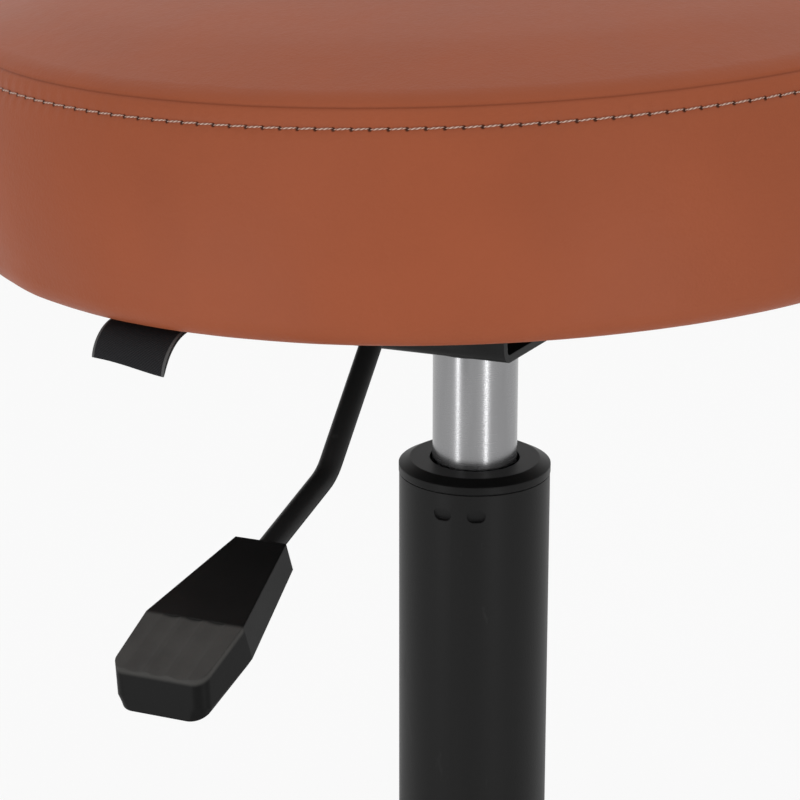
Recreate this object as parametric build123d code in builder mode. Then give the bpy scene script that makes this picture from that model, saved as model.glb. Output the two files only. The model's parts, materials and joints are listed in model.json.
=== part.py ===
from build123d import *
import os
from math import cos, radians, sin, sqrt, tan

# Rolling stool: a round padded seat on a gas lift, carried by a five-leg base on twin-wheel casters.
# Millimetres, +Z up, origin on the floor under the column. The seat is drawn at its lowest.

# Fits
running_gap = 0.06
touch_gap = 0.02
clear_gap = 0.3
cut_past = 1

# Casters
leg_count = 5
first_leg_angle = -90
stem_reach = 245
caster_heading = 35
caster_trail = 21
wheel_diameter = 50
wheel_width = 18
wheel_edge = 2.5
wheel_rim = 6
wheel_dish = 3
wheel_cap_diameter = 16
axle_diameter = 8
axle_boss_diameter = 20
web_thickness = 10
hood_gap = 2
hood_wall = 2.2
hood_turn = -14
boss_diameter = 19
boss_rise = 2
stem_diameter = 11
stem_grip = 22
stem_flange_diameter = 17
stem_flange = 2
pivot_diameter = 8
pivot_depth = 12

# Five-leg base
tip_height = 27
tip_width = 31
middle_reach = 130
middle_width = 38
middle_height = 36
root_width = 41
leg_round = 7
leg_wall = 3.5
leg_lift = 4
pocket_start_share = 0.25
pocket_end_share = 0.84
hub_height = 50
hub_radius = 40
hub_edge = 4
socket_wall = 5
rib_thickness = 2.6
cross_rib_count = 4
hub_ring_height = 8
hub_ring_wall = 2.5

# Column tube and guide
tube_diameter = 50
tube_wall = 2
tube_length = 275
tube_lift = 46
taper_length = 75
taper_angle = 1.44
notch_width = 6
notch_height = 4
notch_depth = 1.2
notch_drop = 5
notch_sets = 3
notch_front = -90
notch_pair_angle = 26
collar_groove = 0.4
collar_rim = 2.9
collar_overhang = 0.15
collar_rise = 4.8
collar_face_radius = 21.5
collar_recess = 3
collar_gap = 0.9
guide_length = 95

# Swivel bearing at the foot of the column
foot_plate_lift = 4
foot_plate_thickness = 4
race_radius = 13
race_thickness = 2
ball_diameter = 4
ball_count = 8
ball_circle_radius = 9
ball_gap = 0.02
cage_thickness = 1.6
cage_margin = 1
buffer_radius = 13.5
buffer_height = 13
buffer_edge = 4
clip_radius = 7.5
clip_thickness = 1.2
clip_groove = 0.8
rod_diameter = 10
rod_neck_diameter = 8
rod_tail = 1.5
spigot_diameter = 7

# Gas cylinder
stroke = 130
cylinder_diameter = 28
cylinder_wall = 1.6
cylinder_cap = 5
cone_drop = 0.6
rod_guide_length = 16
rod_seal_length = 4
piston_length = 14
piston_ring_width = 3
piston_ring_depth = 1.2
valve_length = 22
valve_room = 12
valve_socket = 14
pin_diameter = 8
pin_collar = 3
pin_collar_diameter = 12
pin_stem_diameter = 5
pin_stem = 17
pin_rise = 5.3
pin_edge = 1

# Tilted seat carrier
seat_turn = 29
seat_lean = 3
shown_length = 39.2
hub_tube_diameter = 35
hub_tube_length = 26
hub_tube_edge = 1
cylinder_proud = 2
channel_depth = 38
channel_width = 80
channel_length = 58
channel_steel = 2.5
channel_bend = 4
lever_slot_width = 9.5
lever_slot_depth = 6.5
carrier_size = 168
carrier_corner = 16
carrier_steel = 2.5
carrier_lip = 7
bolt_spacing = 130
bolt_diameter = 6
bolt_hole_gap = 0.3
bolt_head_diameter = 12
bolt_head = 4
bolt_length = 16
washer_diameter = 11
washer_thickness = 1.6

# Lever
press_gap = 0.3
lever_diameter = 7
lever_overlap = 7
lever_flat = 55.7
lever_steep_run = 67.5
lever_steep_angle = 47.1
lever_shallow_run = 39.2
lever_shallow_angle = 18
lever_bend = 16
trunnion_diameter = 10.4
trunnion_width = 15
journal_diameter = 6
journal_length = 3.6
bracket_steel = 2.5
bracket_fall = 7.5
bracket_nose = 4
handle_length = 61
handle_inner_width = 17.2
handle_wide_width = 32.4
handle_wide_place = 38.5
handle_end_width = 30.4
handle_inner_thickness = 9.4
handle_thickness = 11.5
handle_end_thickness = 12.2
handle_bend = 5.2
handle_socket = 30
handle_round = 4
handle_round_limit = 1.75
handle_waist = 6
handle_draft = 28
flute_count = 3
flute_pitch = 7.5
flute_radius = 9
flute_depth = 0.5

# Seat
seat_radius = 163
seat_bulge = 1.5
seam_radius = 159
seam_height = 68
shoulder_radius = 152.5
shoulder_rise = 4.5
crown_rise = 20
edge_round = 9
cover_thickness = 1.2
cover_wrap = 30
dust_cover_thickness = 0.6
dust_cover_edge = 14
board_thickness = 15
tee_nut_diameter = 19
tee_nut_flange = 1.5
tee_nut_barrel = 8
tee_nut_length = 10
tab_angle = 40
tab_width = 29
tab_thickness = 1.1
tab_flat = 11
tab_drop = 14
tab_lean = 50
tab_bend = 3

os.makedirs("parts", exist_ok=True)

# Heights of the base and the column, from the floor up
wheel_radius = wheel_diameter / 2
hood_radius = wheel_radius + hood_gap + hood_wall
caster_top = wheel_radius + hood_radius + boss_rise
flange_bottom = caster_top + clear_gap
socket_face = flange_bottom + stem_flange
hub_bottom = socket_face + leg_lift
hub_top = hub_bottom + hub_height
tube_radius = tube_diameter / 2
tube_top = tube_lift + tube_length
taper_top = tube_lift + taper_length
tube_foot_radius = tube_radius - taper_length * tan(radians(taper_angle))
foot_plate_bottom = tube_lift + foot_plate_lift
foot_plate_top = foot_plate_bottom + foot_plate_thickness
lower_race_top = foot_plate_top + race_thickness
ball_height = lower_race_top + ball_gap + ball_diameter / 2
upper_race_bottom = ball_height + ball_diameter / 2 + ball_gap
upper_race_top = upper_race_bottom + race_thickness
buffer_top = upper_race_top + buffer_height

# Heights of the gas cylinder and the seat carrier
cylinder_radius = cylinder_diameter / 2
cylinder_bore = cylinder_radius - cylinder_wall
cylinder_bottom = buffer_top + clear_gap
rod_guide_top = cylinder_bottom + rod_guide_length
rod_seal_top = rod_guide_top + rod_seal_length
piston_bottom = rod_seal_top + stroke + clear_gap
hub_tube_bottom = tube_top + collar_rise + shown_length
hub_tube_top = hub_tube_bottom + hub_tube_length
cylinder_top = hub_tube_top + cylinder_proud
cap_bottom = cylinder_top - cylinder_cap
valve_top = cap_bottom - valve_room
pin_top = cylinder_top + pin_rise
lever_radius = lever_diameter / 2
trunnion_radius = trunnion_diameter / 2
lever_depth = carrier_steel + clear_gap + trunnion_radius
lever_height = pin_top + press_gap + lever_radius
seat_height = lever_height + lever_depth * cos(radians(seat_lean))

# The seat's own frame: X rises with the lean, and the lever points along -Y
turn = radians(seat_turn)
lean = radians(seat_lean)
seat_plane = Plane(
    origin=(0, 0, seat_height),
    x_dir=(cos(turn) * cos(lean), -sin(turn) * cos(lean), sin(lean)),
    z_dir=(-cos(turn) * sin(lean), sin(turn) * sin(lean), cos(lean)),
)
seat_axis = Axis(seat_plane.origin, seat_plane.z_dir)
seat_section = Plane(seat_plane.origin, x_dir=seat_plane.x_dir, z_dir=-seat_plane.y_dir)
cross_section = Plane(seat_plane.origin, x_dir=seat_plane.y_dir, z_dir=seat_plane.x_dir)
lever_plane = Plane(seat_plane.origin, x_dir=-seat_plane.y_dir, z_dir=-seat_plane.x_dir)

# Heights in the seat's frame, counted from the face that rests on the carrier
band_bottom = dust_cover_thickness
board_bottom = band_bottom + cover_thickness
board_top = board_bottom + board_thickness
board_radius = seat_radius - edge_round
crown_height = seam_height + crown_rise
carrier_underside = -carrier_steel
wall_place = channel_width / 2
inner_place = wall_place - channel_steel
pivot_reach = inner_place - bracket_steel - trunnion_radius - 2 * clear_gap


def save(piece, label):
    """Label a finished piece and write it."""
    piece.part.label = label
    export_step(piece.part, f"parts/{label}.step")


def turned(label, *outline):
    """A piece turned about the column's axis, from its half section as (radius, height) points."""
    with BuildPart() as piece:
        with BuildSketch(Plane.XZ):
            with BuildLine():
                Polyline(*outline, close=True)
            make_face()
        revolve(axis=Axis.Z)
    save(piece, label)


def ring(label, inner, outer, bottom, top):
    """A plain turned ring."""
    turned(label, (inner, bottom), (outer, bottom), (outer, top), (inner, top))


def tube_radius_at(height):
    """Outside radius of the column tube, which tapers towards its foot."""
    below = max(0, taper_top - height)
    return tube_radius - below * tan(radians(taper_angle))


# Five-leg base: one hollow ribbed leg, repeated round the hub
root_reach = sqrt((hub_radius - leg_round / 2) ** 2 - (root_width / 2) ** 2)
leg_stations = [
    (root_reach, root_width, hub_bottom, hub_top - hub_edge),
    (middle_reach, middle_width, socket_face + leg_lift / 2, socket_face + leg_lift / 2 + middle_height),
    (stem_reach, tip_width, socket_face, socket_face + tip_height),
]


def leg_sketch(station, wall):
    """A leg's cross section, drawn in by the wall at its sides and top and open below."""
    reach, width, bottom, top = station
    half = width / 2 - wall
    floor = bottom - cut_past if wall else bottom
    rounding = max(leg_round - wall, wall / 3)
    with BuildSketch(Plane.YZ.offset(reach)) as section:
        with BuildLine():
            FilletPolyline(
                (-half, floor),
                (-half, top - wall),
                (half, top - wall),
                (half, floor),
                radius=rounding,
            )
            Line((half, floor), (-half, floor))
        make_face()
    return section.sketch


def station_between(low, high, share):
    """A leg station at a share of the way between two others."""
    return tuple(a + (b - a) * share for a, b in zip(low, high))


tip_boss_radius = tip_width / 2
pocket_start = station_between(leg_stations[0], leg_stations[1], pocket_start_share)
pocket_end = station_between(leg_stations[1], leg_stations[2], pocket_end_share)
with BuildPart() as leg:
    loft([leg_sketch(station, 0) for station in leg_stations])
    loft([leg_sketch(s, leg_wall) for s in (pocket_start, leg_stations[1], pocket_end)], mode=Mode.SUBTRACT)
    with BuildSketch(Plane.XZ):
        with BuildLine():
            Polyline(
                (pocket_start[0], pocket_start[2] + leg_wall),
                (pocket_end[0], pocket_end[2] + leg_wall),
                (pocket_end[0], pocket_end[3] - leg_wall),
                (leg_stations[1][0], leg_stations[1][3] - leg_wall),
                (pocket_start[0], pocket_start[3] - leg_wall),
                close=True,
            )
        make_face()
    extrude(amount=rib_thickness / 2, both=True)
    for rib in range(1, cross_rib_count + 1):
        reach, width, bottom, top = station_between(pocket_start, pocket_end, rib / (cross_rib_count + 1))
        rib_bottom = bottom + leg_wall
        rib_top = top - leg_wall
        with BuildSketch(Plane.YZ.offset(reach)):
            with Locations((0, (rib_bottom + rib_top) / 2)):
                Rectangle(width - leg_wall, rib_top - rib_bottom)
        extrude(amount=rib_thickness / 2, both=True)
    with BuildSketch(Plane.XY.offset(socket_face)):
        with Locations((stem_reach, 0)):
            Circle(tip_boss_radius)
    extrude(amount=tip_height)
    fillet(leg.faces().sort_by(Axis.X)[-1].edges().sort_by(Axis.Z)[-1], radius=leg_wall)

socket_ring_radius = tube_radius + socket_wall
hub_ring_radius = socket_ring_radius + hub_ring_wall
hub_room = hub_radius - leg_wall
with BuildPart() as star_base:
    with BuildSketch(Plane.XY.offset(hub_bottom)):
        Circle(hub_radius)
    extrude(amount=hub_height)
    fillet(star_base.faces().sort_by(Axis.Z)[-1].edges(), radius=hub_edge)
    with PolarLocations(0, leg_count, start_angle=first_leg_angle):
        add(leg.part)
    with BuildSketch(Plane.XY.offset(hub_bottom)):
        Circle(hub_room)
        Circle(socket_ring_radius, mode=Mode.SUBTRACT)
        with PolarLocations(0, leg_count, start_angle=first_leg_angle):
            with Locations((hub_radius / 2, 0)):
                Rectangle(hub_radius, rib_thickness, mode=Mode.SUBTRACT)
    extrude(amount=hub_height - 2 * hub_edge, mode=Mode.SUBTRACT)
    with BuildSketch(Plane.XZ):
        with BuildLine():
            Polyline(
                (0, tube_lift),
                (tube_foot_radius + touch_gap, tube_lift),
                (tube_radius + touch_gap, taper_top),
                (tube_radius + touch_gap, tube_top),
                (0, tube_top),
                close=True,
            )
        make_face()
    revolve(axis=Axis.Z, mode=Mode.SUBTRACT)
    with BuildSketch(Plane.XY.offset(socket_face)):
        with PolarLocations(stem_reach, leg_count, start_angle=first_leg_angle):
            Circle(stem_diameter / 2 + touch_gap)
    extrude(amount=stem_grip, mode=Mode.SUBTRACT)
    with BuildSketch(Plane.XY.offset(hub_bottom)):
        Circle(hub_ring_radius + touch_gap)
        Circle(socket_ring_radius, mode=Mode.SUBTRACT)
    extrude(amount=hub_ring_height, mode=Mode.SUBTRACT)
save(star_base, "star_base")

ring("hub_ring", socket_ring_radius + touch_gap, hub_ring_radius, hub_bottom, hub_bottom + hub_ring_height)

# Column tube, lanced near its top where it holds the guide
tube_bore = tube_radius - tube_wall
with BuildPart() as outer_tube:
    with BuildSketch(Plane.XZ):
        with BuildLine():
            Polyline(
                (tube_foot_radius - tube_wall, tube_lift),
                (tube_foot_radius, tube_lift),
                (tube_radius, taper_top),
                (tube_radius, tube_top),
                (tube_bore, tube_top),
                (tube_bore, taper_top),
                close=True,
            )
        make_face()
    revolve(axis=Axis.Z)
    for notch in range(notch_sets * 2):
        notch_turn = (notch // 2) * 360 / notch_sets - (notch % 2) * notch_pair_angle
        notch_angle = radians(notch_front + notch_turn)
        outward = Vector(cos(notch_angle), sin(notch_angle), 0)
        notch_middle = tube_top - notch_drop - notch_height / 2
        notch_plane = Plane(
            origin=outward * (tube_radius - notch_depth / 2) + Vector(0, 0, notch_middle),
            x_dir=(-sin(notch_angle), cos(notch_angle), 0),
            z_dir=outward * notch_height - Vector(0, 0, notch_depth),
        )
        with BuildSketch(notch_plane) as notch_outline:
            Rectangle(notch_width, notch_height)
            fillet(notch_outline.vertices().group_by(Axis.Z)[0], radius=notch_height / 2)
        extrude(amount=notch_depth * 2, mode=Mode.SUBTRACT)
save(outer_tube, "outer_tube")

guide_bore = cylinder_radius + running_gap
collar_bore = cylinder_radius + collar_gap
guide_radius = tube_bore - touch_gap
collar_radius = tube_radius + collar_overhang
turned(
    "guide_bush",
    (guide_bore, tube_top - guide_length),
    (guide_radius, tube_top - guide_length),
    (guide_radius, tube_top),
    (tube_radius - collar_groove, tube_top),
    (collar_radius, tube_top + collar_groove),
    (collar_radius, tube_top + collar_rim),
    (collar_face_radius, tube_top + collar_rise),
    (collar_bore, tube_top + collar_rise),
    (collar_bore, tube_top + collar_rise - collar_recess),
    (guide_bore, tube_top + collar_rise - collar_recess - collar_gap),
)

# Foot plate and ball thrust bearing that the piston rod turns on
neck_radius = rod_neck_diameter / 2
rod_radius = rod_diameter / 2
foot_plate_radius = tube_radius_at(foot_plate_bottom) - tube_wall - touch_gap
ring("foot_plate", neck_radius + running_gap, foot_plate_radius, foot_plate_bottom, foot_plate_top)
ring("lower_race", neck_radius + running_gap, race_radius, foot_plate_top, lower_race_top)
ring("upper_race", neck_radius + touch_gap, race_radius, upper_race_bottom, upper_race_top)

ball_radius = ball_diameter / 2
with BuildPart() as ball_cage:
    with BuildSketch(Plane.XY.offset(ball_height)):
        Circle(ball_circle_radius + ball_radius + cage_margin)
        Circle(ball_circle_radius - ball_radius - cage_margin, mode=Mode.SUBTRACT)
        with PolarLocations(ball_circle_radius, ball_count):
            Circle(ball_radius + touch_gap, mode=Mode.SUBTRACT)
    extrude(amount=cage_thickness / 2, both=True)
save(ball_cage, "ball_cage")

with BuildPart(Plane.XY.offset(ball_height)) as thrust_balls:
    with PolarLocations(ball_circle_radius, ball_count):
        Sphere(ball_radius)
save(thrust_balls, "thrust_balls")

# Piston rod, held down by a clip under the foot plate
clip_top = foot_plate_bottom - running_gap
clip_bottom = clip_top - clip_thickness
clip_seat = neck_radius - clip_groove
piston_top = piston_bottom + piston_length
spigot_radius = spigot_diameter / 2
turned(
    "piston_rod",
    (0, clip_bottom - rod_tail),
    (neck_radius, clip_bottom - rod_tail),
    (neck_radius, clip_bottom),
    (clip_seat, clip_bottom),
    (clip_seat, clip_top),
    (neck_radius, clip_top),
    (neck_radius, upper_race_top),
    (rod_radius, upper_race_top),
    (rod_radius, piston_bottom),
    (spigot_radius, piston_bottom),
    (spigot_radius, piston_top),
    (0, piston_top),
)

with BuildPart() as rod_clip:
    with BuildSketch(Plane.XY.offset(clip_bottom)):
        Circle(clip_radius)
        Circle(clip_seat, mode=Mode.SUBTRACT)
        with Locations((clip_radius / 2, 0)):
            Rectangle(clip_radius, clip_seat, mode=Mode.SUBTRACT)
    extrude(amount=clip_thickness)
save(rod_clip, "rod_clip")

turned(
    "rubber_buffer",
    (rod_radius + touch_gap, upper_race_top),
    (race_radius, upper_race_top),
    (buffer_radius, upper_race_top + buffer_edge),
    (buffer_radius, buffer_top - buffer_edge),
    (race_radius, buffer_top),
    (rod_radius + touch_gap, buffer_top),
)

# Piston in the gas cylinder
piston_radius = cylinder_bore - running_gap
piston_middle = (piston_bottom + piston_top) / 2
ring_bottom = piston_middle - piston_ring_width / 2
ring_top = piston_middle + piston_ring_width / 2
ring_seat = piston_radius - piston_ring_depth
turned(
    "piston",
    (spigot_radius + touch_gap, piston_bottom),
    (piston_radius, piston_bottom),
    (piston_radius, ring_bottom),
    (ring_seat, ring_bottom),
    (ring_seat, ring_top),
    (piston_radius, ring_top),
    (piston_radius, piston_top),
    (spigot_radius + touch_gap, piston_top),
)
ring("piston_ring", ring_seat + touch_gap, piston_radius, ring_bottom + touch_gap, ring_top - touch_gap)

# Gas cylinder: straight where it slides in the guide, coned where it sits in the seat's hub
pin_radius = pin_diameter / 2
turned(
    "gas_cylinder",
    (cylinder_bore, cylinder_bottom),
    (cylinder_radius, cylinder_bottom),
    (cylinder_radius, hub_tube_bottom),
    (cylinder_radius - cone_drop, cylinder_top),
    (pin_radius + running_gap, cylinder_top),
    (pin_radius + running_gap, cap_bottom),
    (cylinder_bore, cap_bottom),
)
gland_radius = cylinder_bore - touch_gap
ring("rod_guide", rod_radius + running_gap, gland_radius, cylinder_bottom, rod_guide_top)
ring("rod_seal", rod_radius + running_gap, gland_radius, rod_guide_top, rod_seal_top)

# Valve and the pin that opens it
pin_stem_radius = pin_stem_diameter / 2
socket_radius = pin_stem_radius + running_gap
turned(
    "valve_body",
    (0, valve_top - valve_length),
    (gland_radius, valve_top - valve_length),
    (gland_radius, valve_top),
    (socket_radius, valve_top),
    (socket_radius, valve_top - valve_socket),
    (0, valve_top - valve_socket),
)
pin_collar_top = cap_bottom - clear_gap
pin_collar_bottom = pin_collar_top - pin_collar
turned(
    "release_pin",
    (0, pin_collar_bottom - pin_stem),
    (pin_stem_radius, pin_collar_bottom - pin_stem),
    (pin_stem_radius, pin_collar_bottom),
    (pin_collar_diameter / 2, pin_collar_bottom),
    (pin_collar_diameter / 2, pin_collar_top),
    (pin_radius, pin_collar_top),
    (pin_radius, pin_top - pin_edge),
    (pin_radius - pin_edge, pin_top),
    (0, pin_top),
)

# Seat carrier: coned hub tube, folded channel and flanged plate
hub_tube_radius = hub_tube_diameter / 2
cone_share = hub_tube_length / (hub_tube_length + cylinder_proud)
turned(
    "hub_tube",
    (cylinder_radius + touch_gap, hub_tube_bottom),
    (hub_tube_radius - hub_tube_edge, hub_tube_bottom),
    (hub_tube_radius, hub_tube_bottom + hub_tube_edge),
    (hub_tube_radius, hub_tube_top),
    (cylinder_radius - cone_drop * cone_share + touch_gap, hub_tube_top),
)

with BuildPart() as carrier_channel:
    with BuildSketch(cross_section):
        with BuildLine():
            FilletPolyline(
                (-wall_place, carrier_underside),
                (-wall_place, -channel_depth),
                (wall_place, -channel_depth),
                (wall_place, carrier_underside),
                radius=channel_bend,
            )
            Line((wall_place, carrier_underside), (inner_place, carrier_underside))
            FilletPolyline(
                (inner_place, carrier_underside),
                (inner_place, channel_steel - channel_depth),
                (-inner_place, channel_steel - channel_depth),
                (-inner_place, carrier_underside),
                radius=max(channel_bend - channel_steel, channel_steel / 4),
            )
            Line((-inner_place, carrier_underside), (-wall_place, carrier_underside))
        make_face()
    extrude(amount=channel_length / 2, both=True)
    with BuildSketch(Plane.XY.offset(hub_tube_bottom)):
        Circle(hub_tube_radius + touch_gap)
    extrude(amount=hub_tube_length, mode=Mode.SUBTRACT)
    with BuildSketch(seat_section.offset(wall_place)):
        with Locations((0, -lever_depth)):
            Rectangle(lever_slot_width, 2 * lever_slot_depth)
    extrude(amount=-channel_steel, mode=Mode.SUBTRACT)
save(carrier_channel, "carrier_channel")

with BuildPart() as carrier_plate:
    with BuildSketch(seat_plane.offset(-carrier_lip)):
        RectangleRounded(carrier_size, carrier_size, carrier_corner)
    extrude(amount=carrier_lip)
    with BuildSketch(seat_plane.offset(-carrier_lip)):
        inside = carrier_size - 2 * carrier_steel
        RectangleRounded(inside, inside, carrier_corner - carrier_steel)
    extrude(amount=carrier_lip - carrier_steel, mode=Mode.SUBTRACT)
    with BuildSketch(seat_plane.offset(carrier_underside)):
        with GridLocations(bolt_spacing, bolt_spacing, 2, 2):
            SlotCenterToCenter(bolt_diameter / 2, bolt_diameter + 2 * bolt_hole_gap)
    extrude(amount=carrier_steel, mode=Mode.SUBTRACT)
save(carrier_plate, "carrier_plate")

# Bolts up through the plate into tee nuts in the seat board
bolt_radius = bolt_diameter / 2
washer_bottom = carrier_underside - washer_thickness
with BuildPart() as seat_bolts:
    with BuildSketch(seat_plane.offset(washer_bottom - bolt_head)):
        with GridLocations(bolt_spacing, bolt_spacing, 2, 2):
            RegularPolygon(bolt_head_diameter / 2, 6)
    extrude(amount=bolt_head)
    with BuildSketch(seat_plane.offset(washer_bottom)):
        with GridLocations(bolt_spacing, bolt_spacing, 2, 2):
            Circle(bolt_radius)
    extrude(amount=bolt_length)
save(seat_bolts, "seat_bolts")

with BuildPart() as spring_washers:
    with BuildSketch(seat_plane.offset(washer_bottom)):
        with GridLocations(bolt_spacing, bolt_spacing, 2, 2):
            Circle(washer_diameter / 2)
            Circle(bolt_radius + touch_gap, mode=Mode.SUBTRACT)
    extrude(amount=washer_thickness)
save(spring_washers, "spring_washers")

with BuildPart() as tee_nuts:
    with BuildSketch(seat_plane.offset(board_top - tee_nut_flange)):
        with GridLocations(bolt_spacing, bolt_spacing, 2, 2):
            Circle(tee_nut_diameter / 2)
    extrude(amount=tee_nut_flange)
    with BuildSketch(seat_plane.offset(board_top - tee_nut_flange)):
        with GridLocations(bolt_spacing, bolt_spacing, 2, 2):
            Circle(tee_nut_barrel / 2)
    extrude(amount=-tee_nut_length)
    with BuildSketch(seat_plane.offset(washer_bottom)):
        with GridLocations(bolt_spacing, bolt_spacing, 2, 2):
            Circle(bolt_radius + touch_gap)
    extrude(amount=board_top - washer_bottom, mode=Mode.SUBTRACT)
save(tee_nuts, "tee_nuts")

# Lever pivot: a bracket inside the channel's wall and a trunnion across the lever rod
journal_radius = journal_diameter / 2
ear_inside = trunnion_width / 2 + clear_gap
ear_outside = ear_inside + bracket_steel
bracket_bottom = -lever_depth - bracket_fall
bracket_top = carrier_underside - clear_gap
nose_place = pivot_reach - journal_radius - bracket_nose
with BuildPart() as pivot_bracket:
    with BuildSketch(seat_plane.offset(bracket_bottom)):
        with BuildLine():
            Polyline(
                (-ear_outside, -inner_place),
                (ear_outside, -inner_place),
                (ear_outside, -nose_place),
                (ear_inside, -nose_place),
                (ear_inside, bracket_steel - inner_place),
                (-ear_inside, bracket_steel - inner_place),
                (-ear_inside, -nose_place),
                (-ear_outside, -nose_place),
                close=True,
            )
        make_face()
    extrude(amount=bracket_top - bracket_bottom)
    with BuildSketch(lever_plane):
        with Locations((pivot_reach, -lever_depth)):
            Circle(journal_radius + running_gap)
    extrude(amount=ear_outside, both=True, mode=Mode.SUBTRACT)
    with BuildSketch(seat_section.offset(inner_place)):
        with Locations((0, -lever_depth)):
            Rectangle(lever_slot_width, 2 * lever_slot_depth)
    extrude(amount=-bracket_steel, mode=Mode.SUBTRACT)
save(pivot_bracket, "pivot_bracket")

with BuildPart() as lever_trunnion:
    with BuildSketch(lever_plane):
        with Locations((pivot_reach, -lever_depth)):
            Circle(trunnion_radius)
    extrude(amount=trunnion_width / 2, both=True)
    with BuildSketch(lever_plane):
        with Locations((pivot_reach, -lever_depth)):
            Circle(journal_radius)
    extrude(amount=trunnion_width / 2 + journal_length, both=True)
    with BuildSketch(seat_section.offset(pivot_reach)):
        with Locations((0, -lever_depth)):
            Circle(lever_radius + touch_gap)
    extrude(amount=trunnion_diameter, both=True, mode=Mode.SUBTRACT)
save(lever_trunnion, "lever_trunnion")


def onward(point, run, dip):
    """The point a run further along the lever, dipping below the level."""
    return (point[0] + run * cos(radians(dip)), point[1] - run * sin(radians(dip)))


# Lever rod, bent down twice, and its paddle
lever_inner_end = (-lever_overlap, -lever_depth)
lever_elbow = (lever_flat, -lever_depth)
lever_knee = onward(lever_elbow, lever_steep_run, lever_steep_angle)
handle_start = onward(lever_knee, lever_shallow_run, lever_shallow_angle)
lever_outer_end = onward(handle_start, handle_socket, lever_shallow_angle)
with BuildPart() as lever_rod:
    with BuildLine(lever_plane) as lever_path:
        FilletPolyline(lever_inner_end, lever_elbow, lever_knee, lever_outer_end, radius=lever_bend)
    with BuildSketch(Plane(lever_path.line @ 0, z_dir=lever_path.line % 0)):
        Circle(lever_radius)
    sweep(path=lever_path.line)
save(lever_rod, "lever_rod")

handle_origin = lever_plane.from_local_coords(Vector(*handle_start, 0))
dip = radians(lever_shallow_angle)
handle_along = lever_plane.x_dir * cos(dip) - lever_plane.y_dir * sin(dip)
handle_side = Plane(handle_origin, x_dir=handle_along, z_dir=lever_plane.z_dir)
handle_top = Plane(handle_origin, x_dir=handle_along, z_dir=handle_side.y_dir)
half_inner = handle_inner_thickness / 2
half_thickness = handle_thickness / 2
half_end = handle_end_thickness / 2
outer_run = handle_length - handle_wide_place
bend_angle = radians(handle_bend)
tip_y = -outer_run * sin(bend_angle)
tip_lift = half_end * cos(bend_angle)
toe_edge = handle_length + 2 * tip_lift * tan(dip)
top_rise = tip_y + tip_lift - half_thickness
flute_plane = Plane(
    handle_side.from_local_coords(Vector(handle_wide_place, half_thickness, 0)),
    x_dir=lever_plane.z_dir,
    z_dir=handle_along * outer_run + handle_side.y_dir * top_rise,
)
outline_end = handle_length + handle_thickness
end_narrowing = (handle_wide_width - handle_end_width) / outer_run
outline_end_width = handle_wide_width - end_narrowing * (outline_end - handle_wide_place)
with BuildPart() as lever_handle:
    with BuildSketch(handle_top.offset(-handle_waist)) as handle_outline:
        with BuildLine():
            Polyline(
                (0, -handle_inner_width / 2),
                (handle_wide_place, -handle_wide_width / 2),
                (outline_end, -outline_end_width / 2),
                (outline_end, outline_end_width / 2),
                (handle_wide_place, handle_wide_width / 2),
                (0, handle_inner_width / 2),
                close=True,
            )
        make_face()
    extrude(amount=handle_end_thickness)
    extrude(handle_outline.sketch, amount=-handle_thickness, taper=handle_draft)
    # The outer end stands upright while the lever is at rest
    with BuildSketch(handle_side):
        with BuildLine():
            Polyline(
                (0, -half_inner),
                (handle_wide_place, -half_thickness),
                (toe_edge, tip_y - tip_lift),
                (handle_length, tip_y + tip_lift),
                (handle_wide_place, half_thickness),
                (0, half_inner),
                close=True,
            )
        make_face()
    extrude(amount=handle_wide_width, both=True, mode=Mode.INTERSECT)
    outer_face = lever_handle.faces().sort_by(Axis(handle_origin, lever_plane.x_dir))[-1]
    level_edges = outer_face.edges().filter_by(Axis((0, 0, 0), lever_plane.z_dir))
    end_edges = outer_face.edges() - level_edges
    # The round stays within the drafted flank, whose end edge is the shortest
    flank_edge = end_edges.sort_by(SortBy.LENGTH)[0]
    fillet(end_edges, radius=min(handle_round, flank_edge.length * handle_round_limit))
    with BuildSketch(flute_plane):
        for flute in range(flute_count):
            flute_place = (flute - (flute_count - 1) / 2) * flute_pitch
            with Locations((flute_place, flute_depth - flute_radius)):
                Circle(flute_radius)
    extrude(amount=2 * outer_run, mode=Mode.SUBTRACT)
    with BuildSketch(Plane(handle_origin, x_dir=lever_plane.z_dir, z_dir=handle_along)):
        Circle(lever_radius + touch_gap)
    extrude(amount=handle_socket, mode=Mode.SUBTRACT)
save(lever_handle, "lever_handle")


def band_points(inset):
    """Points of the seat's side, from its turned-under edge up to the seam, drawn in by an inset."""
    round_middle = (edge_round - inset) * sin(radians(45))
    return [
        (board_radius - cover_wrap, band_bottom + inset),
        (board_radius, band_bottom + inset),
        (board_radius + round_middle, band_bottom + edge_round - round_middle),
        (seat_radius - inset, band_bottom + edge_round),
        (seat_radius + seat_bulge - inset, (band_bottom + edge_round + seam_height) / 2),
        (seam_radius - inset, seam_height),
    ]


def panel_points(inset):
    """Points of the seat's top, from the seam over the shoulder to the crown."""
    return [
        (seam_radius - inset, seam_height),
        (shoulder_radius, seam_height + shoulder_rise - inset),
        (0, crown_height - inset),
    ]


def draw_band(inset):
    """Draw the seat's side as a flat hem, a rounded edge and a bulging wall."""
    hem, edge, round_middle, wall, bulge, seam = band_points(inset)
    Line(hem, edge)
    ThreePointArc(edge, round_middle, wall)
    ThreePointArc(wall, bulge, seam)


def draw_panel(inset):
    """Draw the seat's top as a shallow crown that turns down over a shoulder to the seam."""
    seam, shoulder, crown = panel_points(inset)
    crown_arc = TangentArc(crown, shoulder, tangent=(1, 0))
    TangentArc(shoulder, seam, tangent=crown_arc % 1)


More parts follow.
